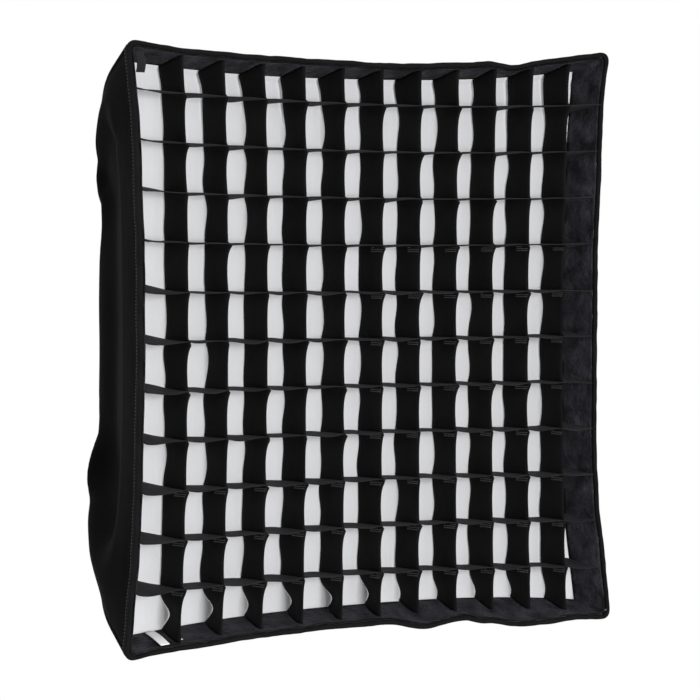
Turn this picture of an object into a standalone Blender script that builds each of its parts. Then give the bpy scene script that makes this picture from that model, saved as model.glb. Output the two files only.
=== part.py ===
"""Square softbox with a fabric egg-crate grid on a rotating bayonet speed ring.

The open front faces -Y, +Z is up, and the origin is the centre of the seat where the bayonet meets the light.
Lengths are in metres. "Depth" is measured backwards from the front edge of the fabric shell.
"""

import math

import bmesh
import bpy
from mathutils import Matrix, Vector

# ---- Driving dimensions -------------------------------------------------------------------------------------
GAP = 0.0003                 # clearance that touching pieces keep

SHELL_HALF = 0.311           # half the width of the shell at its front edge
SHELL_DEPTH = 0.344          # from the front edge to the hem round the speed ring
SHELL_THICK = 0.0012
LIP_SLOPE = 0.35             # how fast each side draws in behind the front edge
FRONT_BOW = 0.0145            # how far the middle of a front edge is pulled in between its corners
CORNER_RADIUS = 0.008
ROUNDING_DEPTH = 0.215       # depth from which the square section turns into a circle
HEM_ROUNDNESS = 0.9          # 0 is a square, 1 is a circle

RIM_WIDTH = 0.0088           # rolled binding of the front edge
RIM_DEPTH = 0.009
RIM_OVERHANG = 0.0055        # how far the binding stands proud of the shell

TAPE_INSET = SHELL_THICK + GAP + 0.0002
TAPE_THICK = 0.0017
TAPE_FRONT = 0.0005          # depth at which the hook tape starts
TAPE_END = 0.058             # depth at which the hook tape ends

GRID_CELLS = 12              # cells along each side
GRID_FRONT = -0.0083         # depth of the grid's front edge, just behind the front of the binding
GRID_DEPTH = 0.042
STRIP_THICK = 0.0009
STRIP_END_GAP = 0.0005
BAND_THICK = 0.0014

CLOTH_THICK = 0.0008
BAFFLE_HALF = 0.185
BAFFLE_DEPTH = 0.165
STRAP_WIDTH = 0.012
STRAP_LAP = 0.014            # how far a strap lies over the baffle's corner

ROD_RADIUS = 0.002
ROD_INSET = 0.0072           # from the shell's corner to the rod's centre
ROD_POINTS = 16
POCKET_DEPTH = 0.069         # depth at which the rod's tip sits
TIP_RADIUS = 0.0038
TIP_LENGTH = 0.014
TIP_BORE = 0.0028             # wide enough for the rod's bend
TIP_HOLD = 0.009             # length of rod inside its tip
POCKET_WALL = 0.0012
POCKET_LENGTH = 0.012

RING_OUTER = 0.078
RING_BORE = 0.072
RING_LIP_BORE = 0.064        # front lip that the bayonet ring bears on
RING_FRONT_Y = -0.022
RING_REAR_Y = -0.0035
RING_STEPS = 48              # facets round every ring

FLANGE_FRONT_Y = -0.0137
FLANGE_STEP = 0.0695         # radius of the seat, which stands out through the retaining ring
SEAT_INNER = 0.0664
SEAT_RELIEF = 0.001          # depth of the groove between the seat and the collar
THROAT = 0.057
COLLAR_OUTER = 0.0615
COLLAR_LENGTH = 0.012
LUG_OUTER = 0.066
LUG_THICK = 0.0035
LUG_ANGLE = 32.0             # degrees
LUG_COUNT = 3

RETAINER_THICK = 0.0018
RETAINER_OUTER = 0.0775

HEM_RADIUS = 0.084
HEM_Y = -0.0205
CUFF_OUTER = 0.0796
CUFF_LENGTH = 0.0065

SOCKET_RADIUS = 0.0042
SOCKET_LENGTH = 0.028
SOCKET_BORE = 0.00305
FOOT_INNER = 0.0665
FOOT_WIDTH = 0.013
FOOT_FRONT_Y = -0.031
ROD_SEAT = 0.003             # the rod's end stays this far from the socket's end

STUD_RADIUS = 0.0025
STUD_HOLE = 0.0028
BOSS_RADIUS = 0.0048
BOSS_TOP = 0.084
STUD_END = 0.097
KNOB_RADIUS = 0.008
KNOB_BASE = 0.0858
KNOB_TOP = 0.101
KNOB_LOBES = 12
KNOB_GROOVE = 0.0007
SCREW_FACETS = 16

# ---- Derived values -----------------------------------------------------------------------------------------
ROOT2 = math.sqrt(2)
SHELL_Y = HEM_Y - SHELL_DEPTH                     # the plane of the shell's front edge
GRID_REAR = GRID_FRONT + GRID_DEPTH
BAND_INSET = TAPE_INSET + TAPE_THICK + 0.0004
CLOTH_FRONT = GRID_REAR + GAP
BORDER_FRONT = CLOTH_FRONT + CLOTH_THICK + GAP
FLANGE_OUTER = RING_BORE - 0.0004
STUD_Y = (FLANGE_FRONT_Y + RING_REAR_Y) / 2       # the lock studs press on the middle of the flange's rim
GRID_ROWS = (GRID_FRONT, 0.0, GRID_REAR / 2, GRID_REAR)
PANEL_ROWS = (*GRID_ROWS[1:], *(TAPE_END + (SHELL_DEPTH - TAPE_END) * share
                                for share in (0, 0.15, 0.29, 0.43, 0.57, 0.69, 0.79, 0.88, 0.95, 1)))
FLAT_COLUMNS = 6
ARC_COLUMNS = 3

# Each side by the direction it faces and the direction along it, both in (x, z).
SIDES = {"right": ((1, 0), (0, 1)), "top": ((0, 1), (-1, 0)), "left": ((-1, 0), (0, -1)), "bottom": ((0, -1), (1, 0))}
CORNERS = {"top_right": (1, 1), "top_left": (-1, 1), "bottom_left": (-1, -1), "bottom_right": (1, -1)}

BLACK_CLOTH = ("black_cloth", (0.012, 0.012, 0.013), 0.8, 0.0)
BLACK_TAPE = ("black_tape", (0.02, 0.02, 0.022), 0.9, 0.0)
WHITE_CLOTH = ("white_cloth", (0.75, 0.76, 0.78), 0.85, 0.0)
ALUMINIUM = ("cast_aluminium", (0.55, 0.56, 0.58), 0.35, 1.0)
STEEL = ("spring_steel", (0.45, 0.45, 0.46), 0.3, 1.0)
BLACK_PLASTIC = ("black_plastic", (0.02, 0.02, 0.02), 0.45, 0.0)


# ---- The shell's shape --------------------------------------------------------------------------------------
def arc_through(start, end, slope):
    """Centre and radius of the arc from start to end, in (depth, reach), that leaves start at the given slope."""
    tangent = Vector((1, -slope)).normalized()
    inward = Vector((-slope, -1)).normalized()
    chord = end - start
    radius = chord.length_squared / (2 * chord.dot(inward))
    return start + inward * radius, radius, tangent


FRONT_REACH = SHELL_HALF * ROOT2 - CORNER_RADIUS * (ROOT2 - 1)
TIP_REACH = FRONT_REACH - LIP_SLOPE * ROOT2 * POCKET_DEPTH
ARC_CENTRE, ARC_RADIUS, LIP_TANGENT = arc_through(
    Vector((POCKET_DEPTH, TIP_REACH)), Vector((SHELL_DEPTH, HEM_RADIUS)), LIP_SLOPE * ROOT2
)


def corner_reach(depth, inside=0.0):
    """Distance from the axis to the shell's corner, or to a line that runs inside it at that distance."""
    if depth <= POCKET_DEPTH:
        return FRONT_REACH - LIP_SLOPE * ROOT2 * depth
    return ARC_CENTRE.y + math.sqrt((ARC_RADIUS - inside) ** 2 - (depth - ARC_CENTRE.x) ** 2)


def section(depth):
    """Half width and corner radius of the shell's outer face at a depth. In front of its edge they stay the same."""
    depth = max(depth, 0.0)
    reach = corner_reach(depth)
    part = min(max((depth - ROUNDING_DEPTH) / (SHELL_DEPTH - ROUNDING_DEPTH), 0), 1)
    roundness = HEM_ROUNDNESS * part * part * (3 - 2 * part)
    half = (reach + CORNER_RADIUS * (ROOT2 - 1)) / ROOT2 * (1 - roundness) + reach * roundness
    return half, (half * ROOT2 - reach) / (ROOT2 - 1)


def sag(depth):
    """How far the middle of a side is pulled in. It fades evenly towards the speed ring."""
    return FRONT_BOW * (1 - max(depth, 0.0) / SHELL_DEPTH)


def side_columns():
    """Places across one side, corner to corner: a sign, a share of the flat and a share of the corner's arc."""
    half = [(i / FLAT_COLUMNS, 0) for i in range(1, FLAT_COLUMNS + 1)]
    half += [(1, j / ARC_COLUMNS) for j in range(1, ARC_COLUMNS + 1)]
    return [(-1, *place) for place in reversed(half)] + [(1, 0, 0)] + [(1, *place) for place in half]


def wall_point(column, depth, inset):
    """(along, out) of a place across a side, at a distance inside the shell's outer face."""
    sign, flat_share, arc_share = column
    half, radius = section(depth)
    half, radius = half - inset, radius - inset
    angle = arc_share * math.pi / 4
    along = (half - radius) * flat_share + radius * math.sin(angle)
    out = half - radius + radius * math.cos(angle)
    corner = half - radius + radius / ROOT2
    return sign * along, out - sag(depth) * (1 - (along / corner) ** 2)


def wall_out(along, depth, inset):
    """How far out the wall's flat lies at a distance along its side."""
    half, radius = section(depth)
    half, radius = half - inset, radius - inset
    return half - sag(depth) * (1 - (along / (half - radius + radius / ROOT2)) ** 2)


def on_side(side, along, out, y):
    (fx, fz), (ax, az) = SIDES[side]
    return Vector((fx * out + ax * along, y, fz * out + az * along))


# ---- Building tools -----------------------------------------------------------------------------------------
def material(look):
    name, colour, roughness, metallic = look
    found = bpy.data.materials.get(name)
    if found:
        return found
    made = bpy.data.materials.new(name)
    made.use_nodes = True
    shader = made.node_tree.nodes["Principled BSDF"]
    shader.inputs["Base Color"].default_value = (*colour, 1)
    shader.inputs["Roughness"].default_value = roughness
    shader.inputs["Metallic"].default_value = metallic
    return made


def body(name, origin=(0, 0, 0), parent=None):
    """An empty on a body's joint axis, which carries the body's pieces."""
    empty = bpy.data.objects.new(name, None)
    bpy.context.scene.collection.objects.link(empty)
    empty.location = origin
    if parent:
        attach(empty, parent)
    bpy.context.view_layer.update()
    return empty


def attach(obj, parent):
    bpy.context.view_layer.update()
    obj.parent = parent
    obj.matrix_parent_inverse = parent.matrix_world.inverted()


def finish(name, bm, look, parent, matrix=None):
    """Turns a bmesh into a named object on its body, placed by matrix."""
    bmesh.ops.recalc_face_normals(bm, faces=bm.faces)
    mesh = bpy.data.meshes.new(name)
    bm.to_mesh(mesh)
    bm.free()
    obj = bpy.data.objects.new(name, mesh)
    bpy.context.scene.collection.objects.link(obj)
    mesh.materials.append(material(look))
    mesh.shade_smooth()
    mesh.set_sharp_from_angle(angle=math.radians(30))
    if matrix:
        obj.matrix_world = matrix
    attach(obj, parent)
    return obj


def helper(bm, matrix=None):
    """A hidden shape for a Boolean."""
    bmesh.ops.recalc_face_normals(bm, faces=bm.faces)
    mesh = bpy.data.meshes.new("helper")
    bm.to_mesh(mesh)
    bm.free()
    obj = bpy.data.objects.new("helper", mesh)
    bpy.context.scene.collection.objects.link(obj)
    if matrix:
        obj.matrix_world = matrix
    obj.hide_render = True
    obj.display_type = "WIRE"
    return obj


def combine(obj, other, operation):
    step = obj.modifiers.new(operation.lower(), "BOOLEAN")
    step.operation = operation
    step.solver = "EXACT"
    step.object = other
    attach(other, obj.parent)


def turned(profile, steps=RING_STEPS, angle=360.0):
    """A closed profile of (radius, y) turned about the Y axis, all the way round or through an angle."""
    bm = bmesh.new()
    corners = [bm.verts.new((radius, y, 0)) for radius, y in profile]
    whole = angle == 360.0
    if whole:
        on_axis = [abs(radius) < 1e-9 for radius, _ in profile]
        pairs = [(i, (i + 1) % len(corners)) for i in range(len(corners))]
        start = [bm.edges.new((corners[a], corners[b])) for a, b in pairs if not (on_axis[a] and on_axis[b])]
    else:
        start = [bm.faces.new(corners)]
    geometry = corners + start + ([] if whole else list(bm.edges))
    bmesh.ops.spin(
        bm, geom=geometry, axis=(0, 1, 0), cent=(0, 0, 0), angle=math.radians(angle), steps=steps, use_merge=whole
    )
    bmesh.ops.remove_doubles(bm, verts=bm.verts, dist=1e-6)
    return bm


def rod_like(radius, start, end, facets=SCREW_FACETS):
    """A plain round bar along Y."""
    return turned([(0, start), (radius, start), (radius, end), (0, end)], facets)


def block(low, high):
    bm = bmesh.new()
    bmesh.ops.create_cube(bm, size=1)
    size = [b - a for a, b in zip(low, high)]
    centre = [(a + b) / 2 for a, b in zip(low, high)]
    bmesh.ops.scale(bm, verts=bm.verts, vec=size)
    bmesh.ops.translate(bm, verts=bm.verts, vec=centre)
    return bm


def lofted(rings, closed):
    """Joins rings of points, each with as many, into one skin. An open loft gets a face at each end.

    Every four-sided patch is split from front to rear, so that skins that follow each other stay apart.
    """
    bm = bmesh.new()
    made = [[bm.verts.new(point) for point in ring] for ring in rings]
    pairs = list(zip(made, made[1:])) + ([(made[-1], made[0])] if closed else [])
    for here, there in pairs:
        for i in range(len(here)):
            j = (i + 1) % len(here)
            if here[i].co.y <= here[j].co.y:
                bm.faces.new((here[i], here[j], there[j]))
                bm.faces.new((here[i], there[j], there[i]))
            else:
                bm.faces.new((here[i], here[j], there[i]))
                bm.faces.new((here[j], there[j], there[i]))
    if not closed:
        bm.faces.new(made[0])
        bm.faces.new(made[-1])
    return bm


def plate(outline, thickness_vector):
    """A flat outline, extruded."""
    bm = bmesh.new()
    face = bm.faces.new([bm.verts.new(point) for point in outline])
    grown = bmesh.ops.extrude_face_region(bm, geom=[face])["geom"]
    new_verts = [item for item in grown if isinstance(item, bmesh.types.BMVert)]
    bmesh.ops.translate(bm, verts=new_verts, vec=thickness_vector)
    return bm


def along_axis(origin, direction, up=Vector((0, 0, 1))):
    """A matrix that stands a Y-axis shape at origin, pointing in direction."""
    y = Vector(direction).normalized()
    x = y.cross(up).normalized() if abs(y.dot(up)) < 0.99 else Vector((1, 0, 0))
    turn = Matrix((x, y, x.cross(y))).transposed()
    return Matrix.Translation(origin) @ turn.to_4x4()


# ---- Fabric shell -------------------------------------------------------------------------------------------
def wall_loop(name, look, parent, stations, inset, thick):
    """A band that follows the inside of the shell all the way round. Stations are (y, depth of the section)."""
    columns = side_columns()[1:]
    rings = []
    for side in SIDES:
        for column in columns:
            faces = [wall_point(column, depth, inset) for _, depth in stations]
            backs = [wall_point(column, depth, inset + thick) for _, depth in stations]
            outer = [on_side(side, *place, y) for place, (y, _) in zip(faces, stations)]
            inner = [on_side(side, *place, y) for place, (y, _) in zip(backs, stations)]
            rings.append(outer + inner[::-1])
    return finish(name, lofted(rings, closed=True), look, parent)


def at_depths(*depths):
    return [(SHELL_Y + depth, depth) for depth in depths]


def shell_panel(side, parent):
    """One of the four cloth panels, from the front edge to the hem round the speed ring."""
    rings = []
    for column in side_columns():
        sheets = []
        for inset in (0.0, SHELL_THICK):
            sheet = []
            for depth in PANEL_ROWS:
                along, out = wall_point(column, depth, inset)
                if column[2] == 1:
                    along -= column[0] * GAP * 0.75
                sheet.append(on_side(side, along, out, SHELL_Y + depth))
            sheets.append(sheet)
        rings.append(sheets[0] + sheets[1][::-1])
    return finish(f"panel_{side}", lofted(rings, closed=False), BLACK_CLOTH, parent)


def front_rim(parent):
    stations = [(SHELL_Y - GAP - RIM_DEPTH, 0.0), (SHELL_Y - GAP, 0.0)]
    return wall_loop("front_rim", BLACK_CLOTH, parent, stations, -RIM_OVERHANG, RIM_WIDTH)


def rear_cuff(parent):
    """Elastic cuff of the shell that grips the speed ring."""
    front, rear = HEM_Y - 0.001, HEM_Y - 0.001 + CUFF_LENGTH
    inner = RING_OUTER + GAP
    return finish("rear_cuff", turned([(inner, front), (CUFF_OUTER, front), (CUFF_OUTER, rear), (inner, rear)]),
                  BLACK_CLOTH, parent)


# ---- Rods ---------------------------------------------------------------------------------------------------
def rod_angle(depth):
    return math.atan2(corner_reach(depth, ROD_INSET) - ARC_CENTRE.y, depth - ARC_CENTRE.x)


def rod_place(corner, angle):
    """Point on a rod's centre line, and its direction towards the light, at an angle round the rod's arc."""
    sx, sz = (value / ROOT2 for value in CORNERS[corner])
    radius = ARC_RADIUS - ROD_INSET
    depth = ARC_CENTRE.x + radius * math.cos(angle)
    reach = ARC_CENTRE.y + radius * math.sin(angle)
    back, draw_in = math.sin(angle), math.cos(angle)
    return Vector((sx * reach, SHELL_Y + depth, sz * reach)), Vector((-sx * draw_in, back, -sz * draw_in))


ROD_FRONT_ANGLE = math.atan2(TIP_REACH - ARC_CENTRE.y, POCKET_DEPTH - ARC_CENTRE.x)
HEM_ANGLE = math.atan2(HEM_RADIUS - ARC_CENTRE.y, SHELL_DEPTH - ARC_CENTRE.x)
ROD_REAR_ANGLE = HEM_ANGLE
TIP_TURN = TIP_LENGTH / (ARC_RADIUS - ROD_INSET)


def rod(corner, parent):
    """Sprung steel rod, bent by the tight shell, from its tip in the corner pocket to its socket."""
    curve = bpy.data.curves.new(f"rod_{corner}", "CURVE")
    curve.dimensions = "3D"
    curve.bevel_depth = ROD_RADIUS
    curve.bevel_resolution = 2
    curve.use_fill_caps = True
    line = curve.splines.new("POLY")
    line.points.add(ROD_POINTS - 1)
    first = ROD_FRONT_ANGLE - (TIP_LENGTH - TIP_HOLD) / (ARC_RADIUS - ROD_INSET)
    for i, point in enumerate(line.points):
        angle = first + (ROD_REAR_ANGLE - first) * i / (ROD_POINTS - 1)
        point.co = (*rod_place(corner, angle)[0], 1)
    curve.materials.append(material(STEEL))
    obj = bpy.data.objects.new(f"rod_{corner}", curve)
    bpy.context.scene.collection.objects.link(obj)
    attach(obj, parent)


def rod_tip(corner, parent):
    """Plastic cap on the rod's front end, with the rod's end in its bore."""
    place, towards_light = rod_place(corner, ROD_FRONT_ANGLE)
    solid = TIP_LENGTH - TIP_HOLD - GAP
    bore = TIP_BORE
    nose = TIP_RADIUS * 0.55
    profile = [(0, 0), (nose, 0), (TIP_RADIUS, TIP_RADIUS * 0.5), (TIP_RADIUS, TIP_LENGTH), (bore, TIP_LENGTH),
               (bore, solid), (0, solid)]
    return finish(f"rod_tip_{corner}", turned(profile, 12), BLACK_PLASTIC, parent, along_axis(place, towards_light))


def corner_pocket(corner, parent):
    """Webbing pocket sewn into the shell's corner, which holds the rod's tip."""
    place, towards_light = rod_place(corner, ROD_FRONT_ANGLE)
    bore = TIP_RADIUS + GAP
    outer = bore + POCKET_WALL
    floor = -GAP
    profile = [(0, floor - POCKET_WALL), (outer, floor - POCKET_WALL), (outer, POCKET_LENGTH), (bore, POCKET_LENGTH),
               (bore, floor), (0, floor)]
    return finish(f"corner_pocket_{corner}", turned(profile, 12), BLACK_TAPE, parent,
                  along_axis(place, towards_light))


def rod_socket(corner, parent):
    """Tube that takes the rod's rear end, on a foot that is riveted to the front of the speed ring."""
    place, towards_light = rod_place(corner, ROD_REAR_ANGLE)
    end = ROD_SEAT
    mouth = end - SOCKET_LENGTH
    profile = [(0, end), (SOCKET_RADIUS, end), (SOCKET_RADIUS, mouth), (SOCKET_BORE, mouth), (SOCKET_BORE, GAP),
               (0, GAP)]
    socket = finish(f"rod_socket_{corner}", turned(profile, SCREW_FACETS), ALUMINIUM, parent,
                    along_axis(place, towards_light))
    sx, sz = CORNERS[corner]
    half = FOOT_WIDTH / 2
    foot = block((FOOT_INNER, FOOT_FRONT_Y, -half), (place.xz.length, RING_FRONT_Y - GAP, half))
    foot_object = helper(foot, Matrix.Rotation(-math.atan2(sz, sx), 4, "Y"))
    rod_path = rod_like(SOCKET_BORE, mouth - 0.002, GAP)
    combine(socket, foot_object, "UNION")
    combine(socket, helper(rod_path, along_axis(place, towards_light)), "DIFFERENCE")
    return socket


# ---- Speed ring ---------------------------------------------------------------------------------------------
def bayonet_ring(parent):
    """Ring that locks into the light: a flange that turns inside the speed ring, and a collar with lugs."""
    profile = [(THROAT, FLANGE_FRONT_Y), (FLANGE_OUTER, FLANGE_FRONT_Y), (FLANGE_OUTER, RING_REAR_Y),
               (FLANGE_STEP, RING_REAR_Y), (FLANGE_STEP, 0), (SEAT_INNER, 0), (SEAT_INNER, -SEAT_RELIEF),
               (COLLAR_OUTER, -SEAT_RELIEF), (COLLAR_OUTER, COLLAR_LENGTH), (THROAT, COLLAR_LENGTH)]
    ring = finish("bayonet_ring", turned(profile), ALUMINIUM, parent)
    inner, low = COLLAR_OUTER - 0.002, COLLAR_LENGTH - LUG_THICK
    for i in range(LUG_COUNT):
        lug = turned([(inner, low), (LUG_OUTER, low), (LUG_OUTER, COLLAR_LENGTH - 0.0002),
                      (inner, COLLAR_LENGTH - 0.0002)], 5, LUG_ANGLE)
        turn = math.radians(90 + i * 360 / LUG_COUNT - LUG_ANGLE / 2)
        combine(ring, helper(lug, Matrix.Rotation(turn, 4, "Y")), "UNION")
    return ring


def speed_ring(parent):
    """Outer ring that carries the rods. The bayonet ring turns in its bore, and two studs lock it."""
    profile = [(RING_LIP_BORE, RING_FRONT_Y), (RING_OUTER, RING_FRONT_Y), (RING_OUTER, RING_REAR_Y),
               (RING_BORE, RING_REAR_Y), (RING_BORE, FLANGE_FRONT_Y - GAP), (RING_LIP_BORE, FLANGE_FRONT_Y - GAP)]
    ring = finish("speed_ring", turned(profile), ALUMINIUM, parent)
    for direction in (-1, 1):
        place = along_axis((0, STUD_Y, 0), (direction, 0, 0))
        combine(ring, helper(rod_like(BOSS_RADIUS, RING_OUTER - 0.002, BOSS_TOP), place), "UNION")
        combine(ring, helper(rod_like(STUD_HOLE, RING_BORE - 0.004, BOSS_TOP + 0.002), place), "DIFFERENCE")
    return ring


def retaining_ring(parent):
    """Flat ring that keeps the bayonet ring from leaving the speed ring backwards."""
    front = RING_REAR_Y + GAP
    rear = front + RETAINER_THICK
    inner = FLANGE_STEP + 0.0004
    return finish("retaining_ring",
                  turned([(inner, front), (RETAINER_OUTER, front), (RETAINER_OUTER, rear), (inner, rear)]),
                  STEEL, parent)


def lock_screw(side, direction, box):
    """A stud that presses on the bayonet ring's rim, and the knob that turns it."""
    place = along_axis((0, STUD_Y, 0), (direction, 0, 0))
    stud_body = body(f"lock_stud_{side}_body", (direction * RING_OUTER, STUD_Y, 0), box)
    knob_body = body(f"lock_knob_{side}_body", (direction * KNOB_BASE, STUD_Y, 0), stud_body)
    finish(f"lock_stud_{side}", rod_like(STUD_RADIUS, FLANGE_OUTER + GAP, STUD_END), STEEL, stud_body, place)
    bm = bmesh.new()
    count = KNOB_LOBES * 4
    outline = []
    for i in range(count):
        angle = 2 * math.pi * i / count
        radius = KNOB_RADIUS - KNOB_GROOVE * (1 - math.cos(KNOB_LOBES * angle)) / 2
        outline.append(bm.verts.new((radius * math.cos(angle), KNOB_BASE, radius * math.sin(angle))))
    face = bm.faces.new(outline)
    grown = bmesh.ops.extrude_face_region(bm, geom=[face])["geom"]
    top = [item for item in grown if isinstance(item, bmesh.types.BMVert)]
    bmesh.ops.translate(bm, verts=top, vec=(0, KNOB_TOP - KNOB_BASE, 0))
    knob = finish(f"lock_knob_{side}", bm, BLACK_PLASTIC, knob_body, place)
    combine(knob, helper(rod_like(STUD_HOLE, KNOB_BASE - 0.002, STUD_END + GAP), place), "DIFFERENCE")


# ---- Diffusers ----------------------------------------------------------------------------------------------
def front_diffuser(parent):
    """White cloth behind the grid, and the black border that grips the hook tape."""
    columns = side_columns()[1:]
    rear = CLOTH_FRONT + CLOTH_THICK
    outline = [on_side(side, *wall_point(column, rear, BAND_INSET + GAP), SHELL_Y + CLOTH_FRONT)
               for side in SIDES for column in columns]
    finish("diffuser_cloth", plate(outline, (0, CLOTH_THICK, 0)), WHITE_CLOTH, parent)
    wall_loop("diffuser_border", BLACK_TAPE, parent, at_depths(BORDER_FRONT, TAPE_END), BAND_INSET, BAND_THICK)


def inner_baffle(parent):
    """Smaller white cloth inside the box, hung from the rods by four elastic straps."""
    front = SHELL_Y + BAFFLE_DEPTH
    finish("baffle_cloth", block((-BAFFLE_HALF, front, -BAFFLE_HALF), (BAFFLE_HALF, front + CLOTH_THICK, BAFFLE_HALF)),
           WHITE_CLOTH, parent)
    rod_reach = corner_reach(BAFFLE_DEPTH, ROD_INSET)
    start = BAFFLE_HALF * ROOT2 - STRAP_LAP
    end = rod_reach - ROD_RADIUS / math.cos(math.radians(45)) - GAP
    for corner, (sx, sz) in CORNERS.items():
        strap = block((start, front - GAP - 0.001, -STRAP_WIDTH / 2), (end, front - GAP, STRAP_WIDTH / 2))
        finish(f"baffle_strap_{corner}", strap, BLACK_TAPE, parent, Matrix.Rotation(-math.atan2(sz, sx), 4, "Y"))


# ---- Egg-crate grid -----------------------------------------------------------------------------------------
def strip_places():
    """Places of the strips across the mouth, evenly spaced between the bands."""
    half = wall_out(section(GRID_FRONT)[0], GRID_FRONT, BAND_INSET + BAND_THICK)
    pitch = 2 * half / GRID_CELLS
    return [-half + pitch * (i + 1) for i in range(GRID_CELLS - 1)]


def strip_outline(along, slot_from_front):
    """Side view of a strip as (length, depth): it meets the sloping band at both ends and has a slot at each crossing."""
    inset = BAND_INSET + BAND_THICK
    front_end = wall_out(along, GRID_FRONT, inset) - STRIP_END_GAP
    rear_end = wall_out(along, GRID_REAR, inset) - STRIP_END_GAP
    left, right = [(-front_end, 0.0), (-front_end, GRID_FRONT)], [(front_end, GRID_FRONT), (front_end, 0.0)]
    slot = STRIP_THICK / 2 + GAP
    middle = (GRID_FRONT + GRID_REAR) / 2
    edge, floor = (GRID_FRONT, middle + GAP / 2) if slot_from_front else (GRID_REAR, middle - GAP / 2)
    notched = []
    for place in strip_places():
        notched += [(place - slot, edge), (place - slot, floor), (place + slot, floor), (place + slot, edge)]
    if slot_from_front:
        return [*left, *notched, *right, (rear_end, GRID_REAR), (-rear_end, GRID_REAR)]
    return [(-rear_end, GRID_REAR), *notched, (rear_end, GRID_REAR), *right[::-1], *left[::-1]]


def grid(parent):
    """Eleven upright and eleven level strips, half-lapped at each crossing, inside a band that grips the hook tape."""
    wall_loop("grid_band", BLACK_TAPE, parent, at_depths(*GRID_ROWS), BAND_INSET, BAND_THICK)
    half = STRIP_THICK / 2
    for number, place in enumerate(strip_places(), 1):
        upright = [(place - half, SHELL_Y + depth, length) for length, depth in strip_outline(place, False)]
        level = [(length, SHELL_Y + depth, place - half) for length, depth in strip_outline(place, True)]
        finish(f"grid_strip_v{number:02d}", plate(upright, (STRIP_THICK, 0, 0)), BLACK_CLOTH, parent)
        finish(f"grid_strip_h{number:02d}", plate(level, (0, 0, STRIP_THICK)), BLACK_CLOTH, parent)


# ---- Assembly -----------------------------------------------------------------------------------------------
def main():
    for obj in list(bpy.data.objects):
        bpy.data.objects.remove(obj)
    mount = body("mount_body")
    box = body("box_body", parent=mount)
    baffle = body("baffle_body", (0, SHELL_Y + BAFFLE_DEPTH, 0), box)
    diffuser = body("diffuser_body", (0, SHELL_Y + CLOTH_FRONT, 0), baffle)
    lattice = body("grid_body", (0, SHELL_Y + GRID_FRONT, 0), diffuser)

    bayonet_ring(mount)
    speed_ring(box)
    retaining_ring(box)
    for side in SIDES:
        shell_panel(side, box)
    front_rim(box)
    rear_cuff(box)
    wall_loop("lip_hook_tape", BLACK_TAPE, box, at_depths(TAPE_FRONT, *GRID_ROWS[2:], TAPE_END), TAPE_INSET, TAPE_THICK)
    for corner in CORNERS:
        rod(corner, box)
        rod_tip(corner, box)
        corner_pocket(corner, box)
        rod_socket(corner, box)
    lock_screw("left", -1, box)
    lock_screw("right", 1, box)
    inner_baffle(baffle)
    front_diffuser(diffuser)
    grid(lattice)


main()
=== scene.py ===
import math
import random

import bmesh
import bpy
from mathutils import Matrix, Vector, noise


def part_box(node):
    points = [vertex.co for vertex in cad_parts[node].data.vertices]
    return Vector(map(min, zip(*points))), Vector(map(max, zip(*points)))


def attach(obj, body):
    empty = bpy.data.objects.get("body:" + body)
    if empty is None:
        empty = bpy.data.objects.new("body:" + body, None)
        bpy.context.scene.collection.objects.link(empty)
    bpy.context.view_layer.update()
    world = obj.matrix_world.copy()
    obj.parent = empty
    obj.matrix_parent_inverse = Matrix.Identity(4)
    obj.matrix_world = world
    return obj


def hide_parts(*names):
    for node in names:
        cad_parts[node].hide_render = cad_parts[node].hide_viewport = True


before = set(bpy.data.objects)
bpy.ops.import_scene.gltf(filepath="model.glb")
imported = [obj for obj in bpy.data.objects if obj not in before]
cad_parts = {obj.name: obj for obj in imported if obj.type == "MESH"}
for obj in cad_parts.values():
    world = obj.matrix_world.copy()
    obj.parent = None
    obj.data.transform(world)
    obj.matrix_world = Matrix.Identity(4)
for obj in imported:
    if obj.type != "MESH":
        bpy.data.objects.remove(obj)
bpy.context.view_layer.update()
root2 = math.sqrt(2)

# the shell's own numbers; bowPower above 2 keeps the middle of a side straighter
shell = {
    "half": 0.311, "slope": 0.35, "pocketDepth": 0.069, "depth": 0.344, "ringRadius": 0.084,
    "bow": 0.0155, "bowPower": 2.5, "cornerRadius": 0.008, "roundFrom": 0.215, "roundness": 0.9}
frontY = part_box("panel_left")[0][1]          # plane of the shell's front edge
# each side's outward direction and the direction it is walked in, as (x, z)
sides = {
    "right": ((1, 0), (0, 1)),
    "top": ((0, 1), (-1, 0)),
    "left": ((-1, 0), (0, -1)),
    "bottom": ((0, -1), (1, 0))}
corners = {"top_right": (1, 1), "top_left": (-1, 1), "bottom_left": (-1, -1), "bottom_right": (1, -1)}

# the arc that the rods bend to, in (depth, reach)
frontReach = shell["half"] * root2 - shell["cornerRadius"] * (root2 - 1)
bendStart = Vector((shell["pocketDepth"], frontReach - shell["slope"] * root2 * shell["pocketDepth"]))
bendEnd = Vector((shell["depth"], shell["ringRadius"]))
inward = Vector((-shell["slope"] * root2, -1)).normalized()
bendRadius = (bendEnd - bendStart).length_squared / (2 * (bendEnd - bendStart).dot(inward))
bendCentre = bendStart + inward * bendRadius


def cornerReach(depth, inside=0.0):
    # distance from the axis to a corner of the shell, at a depth behind the front edge
    if depth <= shell["pocketDepth"]:
        return frontReach - shell["slope"] * root2 * depth
    return bendCentre.y + math.sqrt((bendRadius - inside) ** 2 - (depth - bendCentre.x) ** 2)


def section(depth):
    # half width and corner radius; ahead of the front edge they stay the same
    depth = max(depth, 0.0)
    reach = cornerReach(depth)
    part = min(max((depth - shell["roundFrom"]) / (shell["depth"] - shell["roundFrom"]), 0), 1)
    roundness = shell["roundness"] * part * part * (3 - 2 * part)
    half = (reach + shell["cornerRadius"] * (root2 - 1)) / root2 * (1 - roundness) + reach * roundness
    return half, (half * root2 - reach) / (root2 - 1)


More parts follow.
